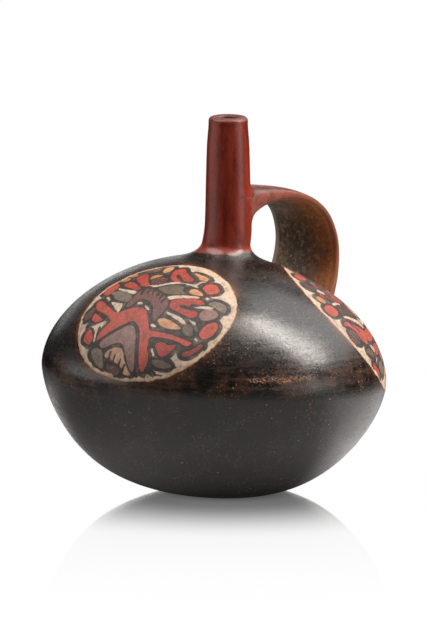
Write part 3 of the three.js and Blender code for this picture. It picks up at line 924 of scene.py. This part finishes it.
    # Painted shade: the inner face darker near the root, most towards the far edge.
    painted_root_shade = g.invert(g.ramp(strap, 0.25, 0.5))
    brown = g.coat(brown, (40, 30, 18), painted_root_shade, g.ramp(across, 0.5, -0.6, 0, 0.5))
    # Painted highlight: the far edge pale grey-cream along most of the strap, red near its root.
    far_edge_highlight = g.ramp(across, -0.78, -0.88)
    near_edge = g.ramp(across, 0.86, 0.93)
    far_clay_and_highlight = g.mix(g.ramp(strap, 0.12, 0.4), (120, 54, 38), (150, 128, 106))
    brown = g.coat(brown, far_clay_and_highlight, far_edge_highlight, 0.8)
    strap_red = g.mix(g.ramp(mottle, 0.35, 0.7), (88, 26, 14), (116, 42, 25))
    strap_red = g.coat(strap_red, (72, 30, 22), g.ramp(scrapes, 0.52, 0.68), 0.6)
    edge_clay = g.mix(g.ramp(mottle, 0.38, 0.6), (122, 40, 26), (158, 76, 56))
    edge_clay = g.coat(edge_clay, (96, 34, 24), g.ramp(scrapes, 0.52, 0.62), 0.5)
    edge_clay = g.mix(g.ramp(strap, 0.22, 0.45), edge_clay, (132, 66, 26))
    below_top = g.plus(under, g.sway(mottle, 0.15))
    worn_orange = g.mix(g.ramp(scrapes, 0.4, 0.65), (150, 66, 16), (116, 50, 20))
    outer = g.mix(g.ramp(strap, 0.3, 0.5), strap_red, worn_orange)
    edge_clay = g.mix(g.ramp(below_top, 0.2, 0.34), outer, edge_clay)
    brown = g.coat(brown, edge_clay, near_edge, 0.9)
    edge_line = g.times(g.ramp(across, 0.78, 0.84), g.ramp(across, 0.92, 0.86))
    brown = g.coat(brown, (196, 112, 54), edge_line, g.ramp(strap, 0.5, 0.85, 0.6, 0.2))
    face = g.ramp(g.plus(under, g.sway(mottle, 0.1)), 0.18, 0.34)
    outer = g.coat(outer, (84, 34, 24), g.ramp(scrapes, 0.52, 0.7), 0.4)
    outer = g.coat(outer, (180, 104, 80), g.ramp(mottle, 0.6, 0.74), 0.25)
    strap_paint = g.mix(face, outer, brown)

    # Painted highlight: a lighter red-brown on the lower side of the strap's root.
    root_painted_highlight = g.times(g.invert(g.ramp(strap, 0.1, 0.2)), g.ramp(under, 0.5, 0.75))
    strap_paint = g.coat(strap_paint, (140, 66, 42), root_painted_highlight, 0.5)
    colour = g.mix(on_spout, black, red)
    colour = g.mix(on_strap, colour, strap_paint)

    # The painted panels: cream ground, coloured cells and brushed black lines.
    ragged = g.plus(g.sway(g.noise(220, 4, 0.6), 2.4), g.sway(grain, 0.6))
    ground = g.times(g.ramp(g.plus(panel, ragged), -0.2, 0.2), g.invert(on_strap))
    stained = g.mix(g.times(g.ramp(g.noise(150, 4, 0.65), 0.42, 0.66), 0.75), (214, 184, 152), (168, 122, 82))
    stained = g.coat(stained, (120, 80, 56), g.ramp(g.plus(panel, ragged), 0.9, 0.0), 0.5)
    brushed = g.noise(340, 5, 0.7, (1, 1, 0.5))
    cell = g.mix(g.ramp(brushed, 0.42, 0.68, 0.0, 0.5), paint, (64, 36, 26))
    cell = g.mix(g.ramp(patches, 0.45, 0.7, 0.0, 0.35), cell, (92, 50, 40))
    cell = g.mix(g.ramp(grain, 0.54, 0.7, 0.0, 0.3), cell, (222, 178, 150))
    thick = g.sway(g.noise(110, 3), 4)
    in_drawing = g.ramp(g.plus(panel, g.plus(ragged, thick)), 1.3, 1.7)
    cell = g.mix(in_drawing, stained, cell)
    lined = g.times(g.ramp(g.plus(ink, g.times(ragged, 0.5)), -0.2, 0.12), in_drawing)
    line_black = g.mix(grain, (15, 12, 10), (34, 28, 24))
    cell = g.coat(cell, line_black, lined, g.ramp(mottle, 0.4, 0.75, 0.98, 0.7))
    dirt = g.dots(520, 0.08, 0.28, g.ramp(g.noise(130, 2), 0.45, 0.58))
    cell = g.coat(cell, (66, 44, 34), dirt, 0.6)
    cell = g.mix(0.06, cell, (0, 0, 0))
    colour = g.mix(ground, colour, cell)

    # Bare clay inside, painted darker deeper in as shade in the hollow, and paler near the mouth.
    clay = g.mix(g.ramp(patches, 0.3, 0.7), (62, 36, 26), (42, 26, 20))
    clay = g.mix(g.ramp(z, 0.176, 0.19), clay, (118, 68, 48))
    colour = g.mix(inside_pot, colour, clay)

    # Burnish: the black slip shines most, and the panels, the strap and bare clay are duller.
    rough = g.ramp(clouds, 0.3, 0.75, 0.25, 0.33)
    for field, amount in ((grain, 0.3), (mottle, 0.2), (level_streaks, 0.2)):
        rough = g.plus(rough, g.sway(field, amount))
    rough = g.plus(rough, g.times(g.plus(specks, worn), 0.3))
    rough = g.blend(on_spout, rough, g.ramp(upright_streaks, 0.3, 0.7, 0.26, 0.4))
    rough = g.blend(rim, rough, 0.6)
    rough = g.blend(ground, rough, g.ramp(grain, 0.3, 0.7, 0.5, 0.75))
    rough = g.blend(g.times(on_strap, face), rough, g.ramp(scrapes, 0.3, 0.7, 0.5, 0.7))
    rough = g.blend(inside_pot, rough, 0.9)

    # Low relief, as a bump: grain, streaks and scrapes, with specks and wear sunk and painted lines raised.
    height = g.times(grain, 0.6)
    for field, amount in ((level_streaks, 0.7), (fine, 0.2), (patches, 1.0),
                          (g.times(on_strap, scrapes), 2.0), (g.plus(specks, worn), -0.8),
                          (g.times(ground, lined), 0.3)):
        height = g.plus(height, g.times(field, amount))
    bump = g.add("ShaderNodeBump", {"Height": height, "Distance": RELIEF, "Strength": 1.0})
    return g.finish(g.add("ShaderNodeBsdfPrincipled", {"Base Color": colour, "Roughness": rough,
                                                       "Normal": bump.outputs[0], "IOR": SLIP_IOR}))


# Camera, floor and lights.

def look_at(thing, target):
    thing.rotation_mode = "QUATERNION"
    thing.rotation_quaternion = (Vector(target) - thing.location).to_track_quat("-Z", "Y")


CAMERA_ROUND = 34
CAMERA_UP = 7
CAMERA_FAR = 2.2
CAMERA_TARGET = (-0.00626, -0.00422, 0.0902)
# The height of the frame in pixels, and what one pixel covers at the bottle, in metres.
FRAME_HEIGHT = 640
PIXEL = 0.0005225
SENSOR = 36.0

# The lights stand this far from the middle of the bottle, in metres.
LIGHT_FAR = 1.2
LIGHT_TARGET = Vector((0, 0, 0.09))
WHITE = (1, 1, 1, 1)
BOUNCE_WHITE = (1, 0.96, 0.93, 1)
FLOOR_RADIUS = 14
# The card behind the bottle: degrees up, how far out it starts and is whole, and the light beyond it.
CARD_UP = 7
CARD_EDGE = math.radians(14)
CARD_CORE = math.radians(5)
DIM = 0.05


def polar(around, up, far=1.0):
    """A place seen from the bottle: degrees round from the front towards +X, degrees up, metres away."""
    a, e = math.radians(around), math.radians(up)
    return Vector((math.sin(a) * math.cos(e), -math.cos(a) * math.cos(e), math.sin(e))) * far


def make_camera():
    camera = bpy.data.objects.new("camera", bpy.data.cameras.new("camera"))
    bpy.context.scene.collection.objects.link(camera)
    camera.data.sensor_width = SENSOR
    camera.data.lens = SENSOR * CAMERA_FAR / (FRAME_HEIGHT * PIXEL)
    camera.location = Vector(CAMERA_TARGET) + polar(CAMERA_ROUND, CAMERA_UP, CAMERA_FAR)
    camera.data.clip_end = 100
    look_at(camera, CAMERA_TARGET)
    bpy.context.scene.camera = camera


def softbox(name, around, up, width, height, watts, colour=(1, 1, 1)):
    """A light that faces the bottle: degrees round and up, its width and height in metres, and its power."""
    light = bpy.data.lights.new(name, "AREA")
    light.shape = "RECTANGLE"
    light.size, light.size_y = width, height
    light.energy = watts
    light.color = colour
    lamp = bpy.data.objects.new(name, light)
    bpy.context.scene.collection.objects.link(lamp)
    lamp.location = LIGHT_TARGET + polar(around, up, LIGHT_FAR)
    look_at(lamp, LIGHT_TARGET)


def seen_floor_finish():
    """White to the camera, dimmer close round the bottle as a painted contact shadow, with a faint reflection
    of the bottle that dies away towards the camera.
    """
    g = Graph(bpy.data.materials.new("pale_table"))
    away = g.vector("LENGTH", g.object, result="Value")
    share = g.plus(g.ramp(away, 0.045, 0.15, 0.95, 0.0), g.ramp(away, 0.05, 0.36, 0.14, 0.0))
    grazing = g.add("ShaderNodeLayerWeight", {"Blend": 0.5}).outputs["Facing"]
    share = g.times(share, g.ramp(grazing, 0.78, 0.86))
    # Painted shadow: the floor's glow is dimmed close round the bottle.
    glow = g.ramp(away, 0.02, 0.042, 0.5, 1)
    white = g.add("ShaderNodeEmission", {"Color": WHITE, "Strength": glow})
    gloss = g.add("ShaderNodeBsdfGlossy", {"Color": WHITE, "Roughness": 0.05})
    return g.finish(g.add("ShaderNodeMixShader", {0: share, 1: white.outputs[0], 2: gloss.outputs[0]}))


def bounce_floor_finish():
    """What the bottle gets back from the floor: little from under it, more from round about."""
    g = Graph(bpy.data.materials.new("pale_bounce"))
    away = g.vector("LENGTH", g.object, result="Value")
    heading = g.vector("NORMALIZE", g.object)
    side = g.vector("DOT_PRODUCT", heading, polar(142, 0), "Value")
    rear = g.vector("DOT_PRODUCT", heading, polar(-116, 0), "Value")
    near_rear = g.times(g.ramp(rear, 0.8, 0.98), g.ramp(away, 0.24, 0.33, 0.75, 0.0))
    level = g.plus(g.plus(g.ramp(side, 0.6, 0.95, 0.0, 0.9), g.ramp(rear, -0.4, 0.6, 0.6, 0.28)), near_rear)
    reach = g.times(g.ramp(away, 0.032, 0.095, 0.05, 1.0), g.ramp(away, 0.13, 0.75, 1.0, 0.0))
    level = g.times(level, reach)
    return g.finish(g.add("ShaderNodeEmission", {"Color": BOUNCE_WHITE, "Strength": level}))


def floor_disc(name, height, material):
    bpy.ops.mesh.primitive_circle_add(vertices=64, radius=FLOOR_RADIUS, fill_type="NGON",
                                      location=(0, 0, height))
    disc = bpy.context.object
    disc.name = name
    disc.data.materials.append(material)
    return disc


def make_world():
    """White to the camera. To everything else it is dim, with a bright low card behind the bottle."""
    world = bpy.context.scene.world or bpy.data.worlds.new("studio")
    bpy.context.scene.world = world
    g = Graph(world)
    toward = g.vector("DOT_PRODUCT", g.places["Generated"], polar(CAMERA_ROUND + 180, CARD_UP), "Value")
    card = g.add("ShaderNodeMapRange", {"Value": toward, "From Min": math.cos(CARD_EDGE),
                                        "From Max": math.cos(CARD_CORE), "To Min": DIM})
    seen = g.add("ShaderNodeLightPath").outputs["Is Camera Ray"]
    strength = g.math("MAXIMUM", card.outputs[0], seen)
    g.finish(g.add("ShaderNodeBackground", {"Color": WHITE, "Strength": strength}), "ShaderNodeOutputWorld")


def make_studio():
    seen = floor_disc("floor", 0, seen_floor_finish())
    seen.visible_diffuse = seen.visible_glossy = False
    bounce = floor_disc("floor_bounce", -0.0005, bounce_floor_finish())
    bounce.visible_camera = False
    make_world()
    softbox("key_light", 118, 52, 0.38, 1.1, 17.5, (1, 0.94, 0.87))
    softbox("back_light", 152, 45, 0.9, 1.1, 6.4)
    softbox("rear_light", -126, 10, 0.5, 0.16, 0.22)
    softbox("shoulder_light", -164, 33, 0.24, 0.14, 0.1)
    softbox("left_light", -44, 62, 0.9, 0.9, 11)
    softbox("left_strip", -50, 4, 1.3, 0.24, 1.4)
    softbox("right_strip", 104, 5, 0.9, 0.3, 1.0)
    softbox("edge_strip", 103, 6, 0.07, 0.8, 0.7)
    view = bpy.context.scene.view_settings
    view.view_transform = "Standard"
    view.look = "None"


make_camera()
bottle = make_bottle()
bottle.data.materials.clear()
bottle.data.materials.append(bottle_finish())
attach(bottle, "root")
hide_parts("vessel")
make_studio()
